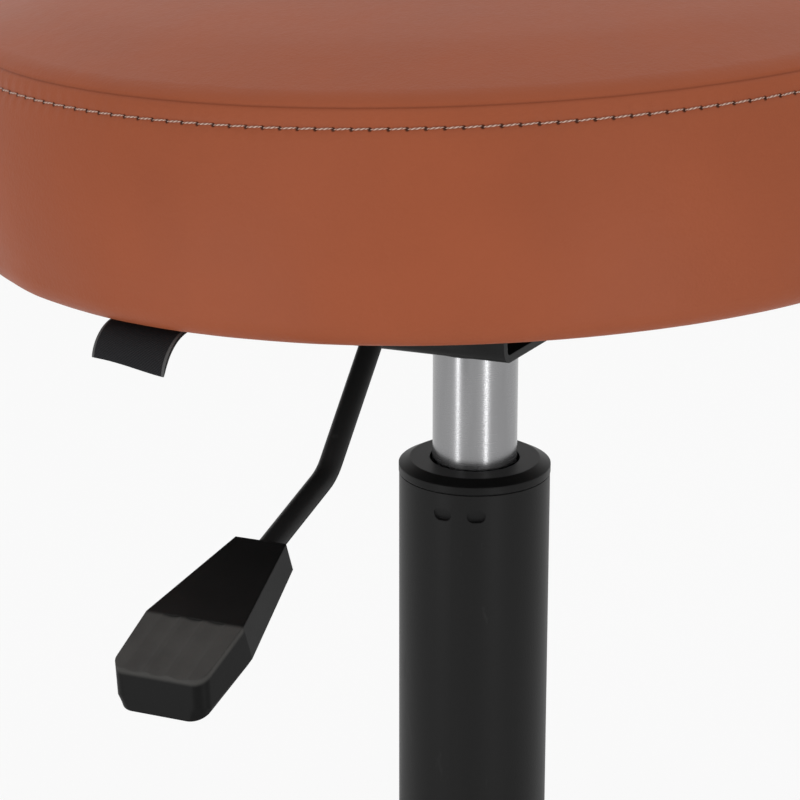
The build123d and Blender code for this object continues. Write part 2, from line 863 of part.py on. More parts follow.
# Seat cover: side band and top panel, sewn together at the seam
with BuildPart() as seat_side_band:
    with BuildSketch(seat_section):
        with BuildLine():
            draw_band(0)
            Line(band_points(0)[-1], band_points(cover_thickness)[-1])
            draw_band(cover_thickness)
            Line(band_points(cover_thickness)[0], band_points(0)[0])
        make_face()
    revolve(axis=seat_axis)
save(seat_side_band, "seat_side_band")

with BuildPart() as seat_top_panel:
    with BuildSketch(seat_section):
        with BuildLine():
            draw_panel(0)
            Line(panel_points(0)[0], panel_points(cover_thickness)[0])
            draw_panel(cover_thickness)
            Line(panel_points(cover_thickness)[-1], panel_points(0)[-1])
        make_face()
    revolve(axis=seat_axis)
save(seat_top_panel, "seat_top_panel")

# Foam pad, with a skirt round the board's edge
foam_inset = cover_thickness + touch_gap
foam_inside = board_radius + touch_gap
with BuildPart() as seat_foam:
    with BuildSketch(seat_section):
        with BuildLine():
            hem, edge, round_middle, wall, bulge, seam = band_points(foam_inset)
            Polyline(
                panel_points(foam_inset)[-1],
                (0, board_top + touch_gap),
                (foam_inside, board_top + touch_gap),
                (foam_inside, wall[1]),
                wall,
            )
            ThreePointArc(wall, bulge, seam)
            draw_panel(foam_inset)
        make_face()
    revolve(axis=seat_axis)
save(seat_foam, "seat_foam")

with BuildPart() as seat_board:
    with BuildSketch(seat_plane.offset(board_bottom)):
        Circle(board_radius)
        with GridLocations(bolt_spacing, bolt_spacing, 2, 2):
            Circle(tee_nut_barrel / 2 + touch_gap, mode=Mode.SUBTRACT)
    extrude(amount=board_thickness)
    with BuildSketch(seat_plane.offset(board_top)):
        with GridLocations(bolt_spacing, bolt_spacing, 2, 2):
            Circle(tee_nut_diameter / 2 + touch_gap)
    extrude(amount=-tee_nut_flange, mode=Mode.SUBTRACT)
save(seat_board, "seat_board")

dust_cover_radius = board_radius - dust_cover_edge
with BuildPart() as dust_cover:
    with BuildSketch(seat_plane):
        Circle(dust_cover_radius)
        with GridLocations(bolt_spacing, bolt_spacing, 2, 2):
            Circle(bolt_radius + bolt_hole_gap, mode=Mode.SUBTRACT)
    extrude(amount=dust_cover_thickness)
save(dust_cover, "dust_cover")

# Plain woven tab, folded out from under the cover's edge
tab_way = radians(tab_angle - seat_turn)
tab_out = -seat_plane.x_dir * sin(tab_way) - seat_plane.y_dir * cos(tab_way)
tab_plane = Plane(seat_plane.origin, x_dir=tab_out, z_dir=tab_out.cross(seat_plane.z_dir))
tab_start = (dust_cover_radius + clear_gap, band_bottom - tab_thickness / 2 - touch_gap)
tab_fold = (tab_start[0] + tab_flat, tab_start[1])
with BuildPart() as side_tab:
    with BuildSketch(tab_plane):
        with BuildLine():
            FilletPolyline(tab_start, tab_fold, onward(tab_fold, tab_drop, tab_lean), radius=tab_bend)
        trace(line_width=tab_thickness)
    extrude(amount=tab_width / 2, both=True)
save(side_tab, "side_tab")

# Casters: stems fixed in the legs, a hooded body turning on each stem, with a wheel on each side
stem_radius = stem_diameter / 2
pivot_radius = pivot_diameter / 2
with BuildPart() as caster_stems:
    with BuildSketch(Plane.XY.offset(socket_face)):
        with PolarLocations(stem_reach, leg_count, start_angle=first_leg_angle):
            Circle(stem_radius)
    extrude(amount=stem_grip)
    with BuildSketch(Plane.XY.offset(flange_bottom)):
        with PolarLocations(stem_reach, leg_count, start_angle=first_leg_angle):
            Circle(stem_flange_diameter / 2)
    extrude(amount=stem_flange)
    with BuildSketch(Plane.XY.offset(flange_bottom)):
        with PolarLocations(stem_reach, leg_count, start_angle=first_leg_angle):
            Circle(pivot_radius)
    extrude(amount=-pivot_depth)
save(caster_stems, "caster_stems")

heading = radians(caster_heading)
trail_way = Vector(cos(heading), sin(heading), 0)
axle_way = Vector(-sin(heading), cos(heading), 0)
axle_radius = axle_diameter / 2
wheel_inside = web_thickness / 2 + clear_gap
wheel_outside = wheel_inside + wheel_width
axle_end = wheel_outside - wheel_dish - axle_radius
hood_bore = hood_radius - hood_wall


def make_body(number, stem_place, side_view):
    """Hood, middle web and stem boss of one caster, moulded in one."""
    with BuildPart() as body:
        with BuildSketch(side_view):
            Circle(hood_radius)
            with Locations(Location((0, 0, 0), (0, 0, hood_turn))):
                with Locations((0, -hood_radius)):
                    Rectangle(2 * hood_radius, 2 * hood_radius, mode=Mode.SUBTRACT)
            Circle(axle_boss_diameter / 2)
        extrude(amount=wheel_outside, both=True)
        with BuildSketch(Plane.XY.offset(caster_top)):
            with Locations((stem_place.X, stem_place.Y)):
                Circle(boss_diameter / 2)
        extrude(amount=-pivot_depth - boss_rise)
        for side in (1, -1):
            with BuildSketch(side_view.offset(side * web_thickness / 2)):
                Circle(hood_bore)
            extrude(amount=side * wheel_outside, mode=Mode.SUBTRACT)
        with BuildSketch(side_view):
            Circle(axle_radius + touch_gap)
        extrude(amount=web_thickness, both=True, mode=Mode.SUBTRACT)
        with BuildSketch(Plane.XY.offset(caster_top)):
            with Locations((stem_place.X, stem_place.Y)):
                Circle(pivot_radius + running_gap)
        extrude(amount=-pivot_depth, mode=Mode.SUBTRACT)
    save(body, f"caster_body_{number}")


def make_axle(number, side_view):
    """Steel axle across one caster."""
    with BuildPart() as axle:
        with BuildSketch(side_view):
            Circle(axle_radius)
        extrude(amount=axle_end - clear_gap, both=True)
    save(axle, f"caster_axle_{number}")


def make_wheel(number, letter, middle, side):
    """One wheel, dished on its outer face, with a blind bore for the axle."""
    dish_radius = wheel_radius - wheel_rim
    cap_radius = wheel_cap_diameter / 2
    face = wheel_outside - wheel_dish
    with BuildPart() as wheel:
        with BuildSketch(Plane(middle, x_dir=axle_way * side, z_dir=trail_way)):
            with BuildLine():
                Polyline(
                    (wheel_inside, axle_radius + running_gap),
                    (wheel_inside, wheel_radius - wheel_edge),
                    (wheel_inside + wheel_edge, wheel_radius),
                    (wheel_outside - wheel_edge, wheel_radius),
                    (wheel_outside, wheel_radius - wheel_edge),
                    (wheel_outside, dish_radius),
                    (face, dish_radius - wheel_dish),
                    (face, cap_radius),
                    (face + wheel_dish / 2, cap_radius - wheel_dish / 2),
                    (face + wheel_dish / 2, 0),
                    (axle_end, 0),
                    (axle_end, axle_radius + running_gap),
                    close=True,
                )
            make_face()
        revolve(axis=Axis(middle, axle_way))
    save(wheel, f"wheel_{number}_{letter}")


for caster in range(leg_count):
    leg_angle = radians(first_leg_angle + caster * 360 / leg_count)
    stem_place = Vector(stem_reach * cos(leg_angle), stem_reach * sin(leg_angle), 0)
    wheel_middle = stem_place - trail_way * caster_trail + Vector(0, 0, wheel_radius)
    wheel_view = Plane(wheel_middle, x_dir=trail_way, z_dir=-axle_way)
    make_body(caster + 1, stem_place, wheel_view)
    make_axle(caster + 1, wheel_view)
    make_wheel(caster + 1, "a", wheel_middle, 1)
    make_wheel(caster + 1, "b", wheel_middle, -1)
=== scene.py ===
# %% [markdown]
# # A rolling stool, dressed over its CAD frame
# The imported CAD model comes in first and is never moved. It holds the base, the casters, the gas lift
# and the lever. This lesson gives those solids their finishes and makes the soft pieces again as
# cloth: the padded seat, its stitching, the woven tab and the cloth under the board.

# %% Load the frame
import json
import math

import bmesh
import bpy
from mathutils import Matrix, Vector
from mathutils.bvhtree import BVHTree
from mathutils.kdtree import KDTree


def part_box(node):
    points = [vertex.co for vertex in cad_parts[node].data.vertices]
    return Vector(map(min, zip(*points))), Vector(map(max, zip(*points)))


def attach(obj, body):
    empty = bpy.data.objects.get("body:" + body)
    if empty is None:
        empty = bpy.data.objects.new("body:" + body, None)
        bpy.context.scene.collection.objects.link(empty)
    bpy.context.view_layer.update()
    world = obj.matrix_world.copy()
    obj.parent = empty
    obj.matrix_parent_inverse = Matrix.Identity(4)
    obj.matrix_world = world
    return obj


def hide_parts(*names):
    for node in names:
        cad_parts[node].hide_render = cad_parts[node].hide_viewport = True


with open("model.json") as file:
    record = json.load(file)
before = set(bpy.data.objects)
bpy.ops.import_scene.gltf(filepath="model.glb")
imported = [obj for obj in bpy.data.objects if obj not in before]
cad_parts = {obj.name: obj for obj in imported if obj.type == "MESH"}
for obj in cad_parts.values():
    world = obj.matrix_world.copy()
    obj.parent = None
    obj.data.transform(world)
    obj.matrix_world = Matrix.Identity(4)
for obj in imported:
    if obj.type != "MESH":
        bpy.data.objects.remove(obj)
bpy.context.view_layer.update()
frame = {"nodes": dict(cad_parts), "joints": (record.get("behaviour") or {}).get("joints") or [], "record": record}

scene = bpy.context.scene
scene.view_settings.view_transform = "Standard"
full_turn = 2 * math.pi

# %% [markdown]
# ## Camera
# The view stands a little left of the column, looks slightly down at it and uses a long lens, so that
# only the seat, the lever and the top of the lift are in the frame. The numbers come from fitting the
# ellipse of the collar and the edges of the tube. The height is counted from the top of the tube, so
# the view stays right when the column's length changes.

# %% Camera
camera_left = 0.0247
camera_back = 0.9497
camera_rise = 0.3496
camera_pitch = 18.9
camera = bpy.data.objects.new("camera", bpy.data.cameras.new("camera"))
scene.collection.objects.link(camera)
tube_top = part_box("outer_tube")[1][2]
camera.location = (-camera_left, -camera_back, tube_top + camera_rise)
camera.rotation_euler = (math.radians(90 - camera_pitch), 0, 0)
camera.data.sensor_width = 36
camera.data.lens = 137.5
scene.camera = camera
print("camera at", tuple(round(c, 3) for c in camera.location))

# %% [markdown]
# ## Sums on sockets
# A finish is a small program in nodes. The nodes could be wired by hand in the editor, but a program is
# easier to read as sums. So an output socket is wrapped in a class that knows plus, minus and times.

# %% Sums on sockets
class Value:
    """An output socket. Sums on it add Math nodes."""

    def __init__(self, finish, socket):
        self.finish = finish
        self.socket = socket

    def math(self, operation, first, second=0.0):
        return self.finish.add("ShaderNodeMath", {"operation": operation}, {0: first, 1: second})

    def __add__(self, other):
        return self.math("ADD", self, other)

    def __sub__(self, other):
        return self.math("SUBTRACT", self, other)

    def __mul__(self, other):
        return self.math("MULTIPLY", self, other)

    def __truediv__(self, other):
        return self.math("DIVIDE", self, other)

    def __pow__(self, other):
        return self.math("POWER", self, other)

    def __rsub__(self, other):
        return self.math("SUBTRACT", other, self)

    __radd__ = __add__
    __rmul__ = __mul__

    def __abs__(self):
        return self.math("ABSOLUTE", self)

    def wave(self):
        return self.math("SINE", self)

    def fraction(self):
        return self.math("FRACT", self)

    def fade(self, start, end):
        """1 at start, easing to 0 at end."""
        return self.finish.add(
            "ShaderNodeMapRange",
            {"interpolation_type": "SMOOTHSTEP"},
            {"Value": self, "From Min": start, "From Max": end, "To Min": 1.0, "To Max": 0.0},
        )


print("sums ready")

# %% [markdown]
# ## One class for every finish
# A material holds a tree of nodes. One method adds any kind of node: its settings are given first, then
# the values or links of its sockets. The other methods only name the few nodes that come up often.

# %% Finish
class Finish:
    """One material. Its nodes are added by kind, and its shader's sockets are fed by name."""

    def __init__(self, name):
        self.material = bpy.data.materials.new(name)
        self.material.use_nodes = True
        self.tree = self.material.node_tree
        self.shader = self.tree.nodes["Principled BSDF"]

    def link(self, target, value):
        if isinstance(value, Value):
            self.tree.links.new(value.socket, target)
        else:
            target.default_value = value

    def add(self, kind, settings, sockets, output=0):
        node = self.tree.nodes.new(kind)
        for key, value in settings.items():
            setattr(node, key, value)
        for key, value in sockets.items():
            self.link(node.inputs[key], value)
        return Value(self, node.outputs[output])

    def feed(self, sockets):
        for key, value in sockets.items():
            self.link(self.shader.inputs[key], value)

    def place(self, stretch=(1, 1, 1)):
        """Object coordinates, stretched along the axes."""
        where = self.add("ShaderNodeTexCoord", {}, {}, "Object")
        return self.add("ShaderNodeMapping", {}, {"Vector": where, "Scale": stretch})

    def noise(self, scale, detail=2.0, where=None):
        """Soft random patches, from 0 to 1. The scale is patches a metre."""
        where = where or self.place()
        sockets = {"Vector": where, "Scale": scale, "Detail": detail}
        return self.add("ShaderNodeTexNoise", {}, sockets)

    def cells(self, scale):
        """Distance from the middle of each cell of a pebbled pattern."""
        sockets = {"Vector": self.place(), "Scale": scale}
        return self.add("ShaderNodeTexVoronoi", {"feature": "SMOOTH_F1"}, sockets)

    def own_map(self, name):
        """The two directions of the piece's own map."""
        spot = self.add("ShaderNodeUVMap", {"uv_map": name}, {})
        return [self.add("ShaderNodeSeparateXYZ", {}, {"Vector": spot}, axis) for axis in "XY"]

    def mix(self, share, first, second):
        """A colour between two others."""
        return self.add("ShaderNodeMix", {"data_type": "RGBA"}, {0: share, 6: first, 7: second}, 2)

    def bump(self, height, distance, strength=1.0, edge=None):
        """A normal from heights, over edges rounded by a bevel radius."""
        sockets = {"Height": height, "Distance": distance, "Strength": strength}
        if edge:
            sockets["Normal"] = self.add("ShaderNodeBevel", {"samples": 4}, {"Radius": edge})
        return self.add("ShaderNodeBump", {}, sockets)


def shade(colour, share):
    """A colour made lighter or darker by a share."""
    return tuple(c * share for c in colour[:3]) + (1.0,)


print("finishes can be made")

# %% [markdown]
# ## Moulded plastic and powder coat
# A moulding shows a fine spark texture and faint marks of how the plastic flowed, and powder coat shows
# orange peel. Pictures of such surfaces could be wrapped round each piece. Noise on object coordinates
# needs no unwrapping and stays sharp close up. Edges are rounded in the shading, as a mould leaves
# them.

# %% Moulded and coated finishes
def moulded(name, colour, roughness, grain, edge, gloss=0.2):
    """Moulded plastic with a fine spark texture and faint flow marks."""
    finish = Finish(name)
    flow = finish.noise(scale=35, detail=3)
    spark = finish.noise(scale=grain, detail=2)
    finish.feed({
        "Base Color": finish.mix(flow, shade(colour, 0.82), shade(colour, 1.2)),
        "Roughness": roughness - 0.06 + 0.12 * flow,
        "Specular IOR Level": gloss,
        "Normal": finish.bump(spark, distance=0.00008, strength=0.5, edge=edge),
    })
    return finish.material


def coated(name, colour, roughness, edge):
    """Powder-coated steel with orange peel and a few rubbed marks."""
    finish = Finish(name)
    peel = finish.noise(scale=1500, detail=1)
    marks = finish.noise(scale=160, detail=4, where=finish.place((1, 1, 0.3)))
    rubbed = marks.fade(0.74, 0.64)
    finish.feed({
        "Base Color": finish.mix(rubbed, shade(colour, 1.0), shade(colour, 2.2)),
        "Roughness": roughness + 0.1 * rubbed + 0.06 * peel,
        "Specular IOR Level": 0.12,
        "Normal": finish.bump(peel, distance=0.00006, strength=0.45, edge=edge),
    })
    return finish.material


print("plastic and paint ready")

# %% [markdown]
# ## Metal
# The lift's cylinder is ground, so the wheel has left rings round it. Noise that is squeezed along Z
# draws them. Zinc plate and turned brass are cloudy instead.

# %% Metal finishes
def ground(name, colour, roughness, edge):
    """Ground steel: fine rings left by the wheel, and a slight blotch along the length."""
    finish = Finish(name)
    rings = finish.noise(scale=1, detail=3, where=finish.place((90, 90, 5200)))
    blotch = finish.noise(scale=240, detail=4, where=finish.place((1, 1, 0.12)))
    finish.feed({
        "Base Color": finish.mix(blotch, shade(colour, 0.86), shade(colour, 1.1)),
        "Metallic": 1.0,
        "Roughness": roughness + 0.1 * rings + 0.08 * blotch,
        "Normal": finish.bump(rings, distance=0.00001, strength=0.35, edge=edge),
    })
    return finish.material


def plated(name, colour, roughness, edge):
    """Plated or turned metal with a cloudy lustre."""
    finish = Finish(name)
    cloud = finish.noise(scale=220, detail=4)
    tooth = finish.noise(scale=1800, detail=2)
    finish.feed({
        "Base Color": finish.mix(cloud, shade(colour, 0.8), shade(colour, 1.12)),
        "Metallic": 1.0,
        "Roughness": roughness + 0.16 * cloud,
        "Normal": finish.bump(tooth, distance=0.00003, strength=0.3, edge=edge),
    })
    return finish.material


print("metals ready")

# %% [markdown]
# ## Rubber and plywood
# These two are hardly seen: the buffer sits inside the column, and the board lies between the cushion
# and the cloth under it. They still get a finish of their own.

# %% Rubber and plywood finishes
def rubbery(name, colour):
    """Dull rubber with bloom."""
    finish = Finish(name)
    bloom = finish.noise(scale=120, detail=4)
    skin = finish.noise(scale=900, detail=3)
    finish.feed({
        "Base Color": finish.mix(bloom, shade(colour, 0.8), shade(colour, 1.7)),
        "Roughness": 0.62 + 0.2 * bloom,
        "Normal": finish.bump(skin, distance=0.0001, strength=0.4, edge=0.0004),
    })
    return finish.material


def plywood(name, colour):
    """Birch plywood: long grain on the faces and thin plies at the edge."""
    finish = Finish(name)
    grain = finish.noise(scale=1, detail=4, where=finish.place((60, 900, 60)))
    plies = finish.noise(scale=1, detail=0, where=finish.place((2, 2, 900)))
    figure = 0.6 * grain + 0.4 * plies
    finish.feed({
        "Base Color": finish.mix(figure, shade(colour, 0.6), shade(colour, 1.15)),
        "Roughness": 0.55 + 0.2 * grain,
        "Normal": finish.bump(grain, distance=0.0002, strength=0.5),
    })
    return finish.material


print("rubber and plywood ready")

# %% [markdown]
# ## Finishes on the rigid pieces
# Each rigid piece keeps its CAD shape and takes the finish that the record names for it. One table
# joins the names in the record to the finishes, so no piece has to be painted by hand.

# %% Dress the rigid pieces
finishes = {
    "black_nylon": moulded("fibre_filled_nylon", (0.016, 0.016, 0.017), 0.5, 1100, 0.0008),
    "black_acetal": moulded("satin_moulding", (0.008, 0.008, 0.008), 0.42, 1900, 0.0006, 0.12),
    "wheel_nylon": moulded("hard_tread", (0.024, 0.024, 0.025), 0.38, 700, 0.0006),
    "pale_nylon": moulded("natural_nylon", (0.72, 0.7, 0.64), 0.4, 900, 0.0003, 0.5),
    "black_rubber": rubbery("buffer_rubber", (0.03, 0.03, 0.03)),
    "black_paint": coated("powder_coat", (0.012, 0.012, 0.012), 0.4, 0.0005),
    "zinc_steel": plated("zinc_plate", (0.62, 0.63, 0.64), 0.28, 0.0003),
    "bearing_steel": ground("bearing_steel", (0.68, 0.68, 0.69), 0.16, 0.0002),
    "satin_steel": ground("ground_cylinder", (0.28, 0.28, 0.285), 0.17, 0.0004),
    "valve_brass": plated("turned_brass", (0.7, 0.53, 0.26), 0.22, 0.0003),
    "birch_ply": plywood("birch_plywood", (0.6, 0.43, 0.25)),
}
slot_of = {row["node"]: row["material_slot"] for row in frame["record"]["subparts"]}
for node, piece in frame["nodes"].items():
    if slot_of[node] in finishes:
        piece.data.materials.clear()
        piece.data.materials.append(finishes[slot_of[node]])
print("finishes", len(finishes))

# %% [markdown]
# ## Leatherette
# The cover is a smooth leatherette: a tan coat with a fine pebble grain, slightly mottled. Its seam is
# drawn from a map that runs round the seat one way and down from the seam the other way, so the
# needle holes stay between the stitches. The seam's crease is painted darker, as shade, and the needle
# holes near black, as the shade inside them. The stitches themselves are modelled further on.

# %% Leatherette
stitch_count = 198
stitch_drop = 0.0058
stitch_ring = 0.16
tan = (0.322, 0.081, 0.033)


def leatherette():
    """Tan leatherette, with painted shade at its seam and in a row of needle holes."""
    finish = Finish("tan_leatherette")
    mottle = finish.noise(scale=26, detail=4)
    pebble = finish.cells(scale=1150)
    crease = finish.noise(scale=420, detail=5)
    ripple = finish.noise(scale=130, detail=3, where=finish.place((1, 1, 2.2)))
    around, down = finish.own_map("seam_map")
    seam = abs(down).fade(0.0001, 0.0006)
    pitch = full_turn * stitch_ring / stitch_count
    beside = ((around * stitch_count).fraction() - 0.5) * pitch
    below = down - stitch_drop
    hole = ((beside * beside + below * below) ** 0.5).fade(0.0003, 0.0008)
    pucker = (around * (full_turn * stitch_count)).wave() * abs(below).fade(0.0, 0.006)
    colour = finish.mix(mottle, shade(tan, 0.9), shade(tan, 1.1))
    # Painted shade: the seam's crease is darkened, and each needle hole painted near black.
    colour = finish.mix(0.28 * seam, colour, shade(tan, 0.4))
    colour = finish.mix(0.92 * hole, colour, shade(tan, 0.05))
    height = 0.6 * pebble + 0.6 * crease + 1.2 * ripple + 0.7 * pucker - 3.0 * hole
    finish.feed({
        "Base Color": colour,
        "Roughness": 0.4 + 0.12 * mottle + 0.08 * crease,
        "Specular IOR Level": 0.16,
        "Normal": finish.bump(height, distance=0.00015, strength=0.7),
    })
    return finish.material


leather = leatherette()
print("leatherette ready")

# %% [markdown]
# ## Cloth and thread
# The tab and the cloth under the board are woven: warp and weft cross over and under, which two sine
# waves along the piece's own map can draw. Sewing thread is twisted from two plies, so its grooves
# wind round it, and they are painted darker, as shade.

# %% Cloth and thread
selvage_grey = (0.13, 0.13, 0.13, 1)
selvage_fade = 0.0004
ply_count = 2
ply_turns = 5


def woven(name, warp, weft, pitch, selvage=0.0):
    """Woven cloth along the piece's own map, in metres. A selvage edge is paler."""
    finish = Finish(name)
    across, along = finish.own_map("cloth_map")
    turns = math.pi / pitch
    over = (across * turns + along * turns).wave() * 0.5 + 0.5
    rib = abs((across * turns).wave()) * 0.5 + abs((along * turns).wave()) * 0.5
    colour = finish.mix(over, warp, weft)
    if selvage:
        edge = 1 - abs(across).fade(selvage - selvage_fade, selvage)
        colour = finish.mix(0.7 * edge, colour, selvage_grey)
    finish.feed({
        "Base Color": colour,
        "Roughness": 0.6 + 0.25 * rib,
        "Specular IOR Level": 0.15,
        "Normal": finish.bump(rib + 0.4 * over, distance=pitch * 0.3, strength=0.6),
    })
    return finish.material


def twisted_thread():
    """Pale sewing thread: the plies wind round it, with painted shade between them."""
    finish = Finish("sewing_thread")
    around, along = finish.own_map("ply_map")
    wound = around * (full_turn * ply_count) + along * (full_turn * ply_turns)
    ply = wound.wave() * 0.5 + 0.5
    finish.feed({
        # Painted shade: the grooves between the plies are darkened.
        "Base Color": finish.mix(ply, (0.22, 0.1, 0.065, 1), (0.66, 0.47, 0.39, 1)),
        "Roughness": 0.5 + 0.2 * ply,
        "Normal": finish.bump(ply, distance=0.0001, strength=0.7),
    })
    return finish.material


print("cloth and thread ready")

# %% [markdown]
# ## The seat's own axes
# The seat leans a few degrees and is turned on its column. The record knows both: the lever's hinge
# lies along the seat, and the mount on the crown points straight out of it. Pieces of the seat are made
# flat, with the carrier's face at height 0, and then set on these axes.

# %% Seat axes
hinge = next(j for j in frame["joints"] if j["name"] == "lever_lift")
crown = next(m for m in frame["record"]["mounts"] if m["name"] == "seat_top")
seat_thickness = 0.088
seat_x = -Vector(hinge["axis"]).normalized()
seat_z = Vector(crown["axis"]).normalized()
seat_y = seat_z.cross(seat_x)
seat_origin = Vector(crown["pos_m"]) - seat_z * seat_thickness
seat_frame = Matrix((seat_x, seat_y, seat_z)).transposed().to_4x4()
seat_frame.translation = seat_origin
seat_lean = math.degrees(seat_z.angle((0, 0, 1)))
print("seat stands at", round(seat_origin.z, 4), "and leans", round(seat_lean, 2))


def ramp(value, start, length):
    """0 up to a start, rising to 1 over a length."""
    return min(1, max(0, (value - start) / length))


def keep(form, name, body, finish, smooth=True):
    """Make an object of a finished bmesh, in place, riding on a body."""
    mesh = bpy.data.meshes.new(name)
    form.to_mesh(mesh)
    form.free()
    for face in mesh.polygons:
        face.use_smooth = smooth
    mesh.materials.append(finish)
    piece = bpy.data.objects.new(name, mesh)
    scene.collection.objects.link(piece)
    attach(piece, body)
    return piece


# %% [markdown]
# ## The paddle's grip
# The paddle of the lever is moulded in one piece. Its inner half is polished and its fluted outer half
# has a spark-erosion texture, so it is rough to the finger. Its colour holds painted light as well: the
# outer top is painted a lighter grey, as lit, and the polished inner half near black, as in the seat's
# shadow. Two materials would need the mesh cut along the border. One finish can do it instead, by
# measuring how far a point lies along the paddle and how near its top.

# %% Paddle grip
paddle_dip = math.radians(18)
grip_start = 0.0385
grip_fall = 0.078
lever_out = seat_z.cross(seat_x)
if lever_out.y > 0:
    lever_out.negate()
paddle_way = lever_out * math.cos(paddle_dip) - seat_z * math.sin(paddle_dip)
paddle_up = lever_out * math.sin(paddle_dip) + seat_z * math.cos(paddle_dip)
paddle = frame["nodes"]["lever_handle"]
paddle_start = min(v.co.dot(paddle_way) for v in paddle.data.vertices)
paddle_top = max(v.co.dot(paddle_up) for v in paddle.data.vertices)


def gripped():
    """Black nylon, rough on the fluted top; painted light: the top lit, the inside shaded."""
    finish = Finish("paddle_nylon")
    where = finish.add("ShaderNodeTexCoord", {}, {}, "Object")

    def reach(way):
        settings = {"operation": "DOT_PRODUCT"}
        return finish.add("ShaderNodeVectorMath", settings, {0: where, 1: way}, "Value")

    beyond = reach(paddle_way) - (paddle_start + grip_start)
    sunk = paddle_top - grip_fall * beyond - reach(paddle_up)
    pad = (1 - beyond.fade(-0.0006, 0.0012)) * sunk.fade(0.0009, 0.0022)
    cloud = finish.noise(scale=90, detail=4, where=finish.place((1, 1, 1.6)))
    spark = finish.noise(scale=1500, detail=2)
    # Painted light: the inside is painted near black as shaded, the pad a lighter grey as lit.
    smooth = finish.mix(cloud, (0.004, 0.004, 0.004, 1), (0.007, 0.007, 0.007, 1))
    eroded_and_lit = finish.mix(cloud, (0.04, 0.039, 0.038, 1), (0.072, 0.07, 0.066, 1))
    tooth = spark * (0.35 + 0.65 * pad)
    finish.feed({
        "Base Color": finish.mix(pad, smooth, eroded_and_lit),
        "Roughness": 0.4 + 0.2 * pad + 0.06 * cloud,
        "Specular IOR Level": 0.08,
        "Normal": finish.bump(tooth, distance=0.0001, strength=0.6, edge=0.0008),
    })
    return finish.material


paddle.data.materials.clear()
paddle.data.materials.append(gripped())
print("paddle starts", round(paddle_start, 4), "top", round(paddle_top, 4))

# %% [markdown]
# ## Outline of the pad
# The cover is two pieces of leatherette: a round top and a long side band, sewn together and pulled
# down over the board. A cylinder with bevelled rims would come near it, but the crown and the roll
# beside the seam have bends of their own. So half of the outline is drawn in the XZ plane, by turning a
# single vertex about the centre of each arc, and the whole is spun round the seat's axis.

# %% Pad outline
seat_radius = 0.163
seam_radius = 0.159
seam_height = 0.068
shoulder_radius = 0.1525
shoulder_rise = 0.0045
edge_round = 0.009
hem_height = 0.0007
side_bulge = 0.0035
crown_steps, shoulder_steps, side_steps, edge_steps, under_steps = 26, 14, 18, 8, 12
weld = 0.00001


def pad_form(inset, rounds):
    """The pad's closed skin, drawn in by an inset, spun in a number of rounds."""
    form = bmesh.new()
    rise = seat_thickness - seam_height - shoulder_rise
    crown_bend = (shoulder_radius**2 + rise**2) / (2 * rise)
    dip = math.asin(shoulder_radius / crown_bend)
    reach = Vector((seam_radius - shoulder_radius, 0, -shoulder_rise))
    inward = Vector((-math.sin(dip), 0, -math.cos(dip)))
    shoulder_bend = reach.length_squared / (2 * reach.dot(inward))
    shoulder = Vector((shoulder_radius, 0, seam_height + shoulder_rise))
    shoulder_turn = 2 * math.asin(reach.length / (2 * shoulder_bend))
    edge_height = hem_height + edge_round
    side = (seat_radius - seam_radius, 0, edge_height - seam_height)

    def arc(start, centre, angle, steps):
        turned = bmesh.ops.spin(
            form, geom=[start], cent=centre, axis=(0, 1, 0), angle=angle, steps=steps,
        )
        return next(g for g in turned["geom_last"] if isinstance(g, bmesh.types.BMVert))

    def run(start, way, steps, bulge=0.0):
        begin = start.co.copy()
        for step in range(1, steps + 1):
            grown = bmesh.ops.extrude_vert_indiv(form, verts=[start])
            start = grown["verts"][0]
            start.co = begin + Vector(way) * step / steps
            start.co.x += bulge * math.sin(math.pi * step / steps)
        return start

    point = form.verts.new((0, 0, seat_thickness))
    point = arc(point, (0, 0, seat_thickness - crown_bend), dip, crown_steps)
    point = arc(point, shoulder + inward * shoulder_bend, shoulder_turn, shoulder_steps)
    point = run(point, side, side_steps, side_bulge)
    point = arc(point, (seat_radius - edge_round, 0, edge_height), math.pi / 2, edge_steps)
    run(point, (-point.co.x, 0, 0), under_steps)
    bmesh.ops.spin(
        form, geom=form.verts[:] + form.edges[:], cent=(0, 0, 0), axis=(0, 0, 1),
        angle=full_turn, steps=rounds, use_merge=True,
    )
    bmesh.ops.remove_doubles(form, verts=form.verts, dist=weld)
    bmesh.ops.recalc_face_normals(form, faces=form.faces)
    form.normal_update()
    for vert, way in [(v, v.normal.copy()) for v in form.verts]:
        vert.co -= way * inset * ramp(vert.co.z, start=0.003, length=0.008)
    return form


swell = 0.0009
blank = pad_form(swell, rounds=120)
print("pad blank", len(blank.faces), "faces")

# %% [markdown]
# ## Where the cover is held
# A real cover is stapled under the board and sewn at the seam, and the foam pushes out in between. The
# cloth that is blown up in the next step has to be held at the same places, and not quite evenly,
# because no two staples pull alike.

# %% Sewn and stapled points
staple_count = 44
staple_reach, staple_stray, stray_waves = 0.2, 0.12, 31


def held(point):
    """How firmly a point of the cover is held, from 0 to 1."""
    radius = math.hypot(point.x, point.y)
    turn = math.atan2(point.y, point.x) / full_turn
    nearness = abs((turn * staple_count) % 1 - 0.5)
    if abs(point.z - seam_height) < 0.004 and radius > 0.14:
        return 1.0
    if point.z < 0.003 and radius < 0.15:
        return 1.0
    if point.z < 0.009 and nearness < staple_reach + staple_stray * math.sin(turn * stray_waves):
        return 0.9
    return 0.0


print("staples", staple_count)

# %% [markdown]
# ## Stuffing the pad
# A bulge could be added by hand with a few sine waves, but cloth finds better ones. So the blank is
# remeshed, pinned where it is sewn and stapled, and blown up by Blender's cloth for twenty frames. What
# is kept is how far each point moved.

# %% Stuff the pad
cloth_frames = 20


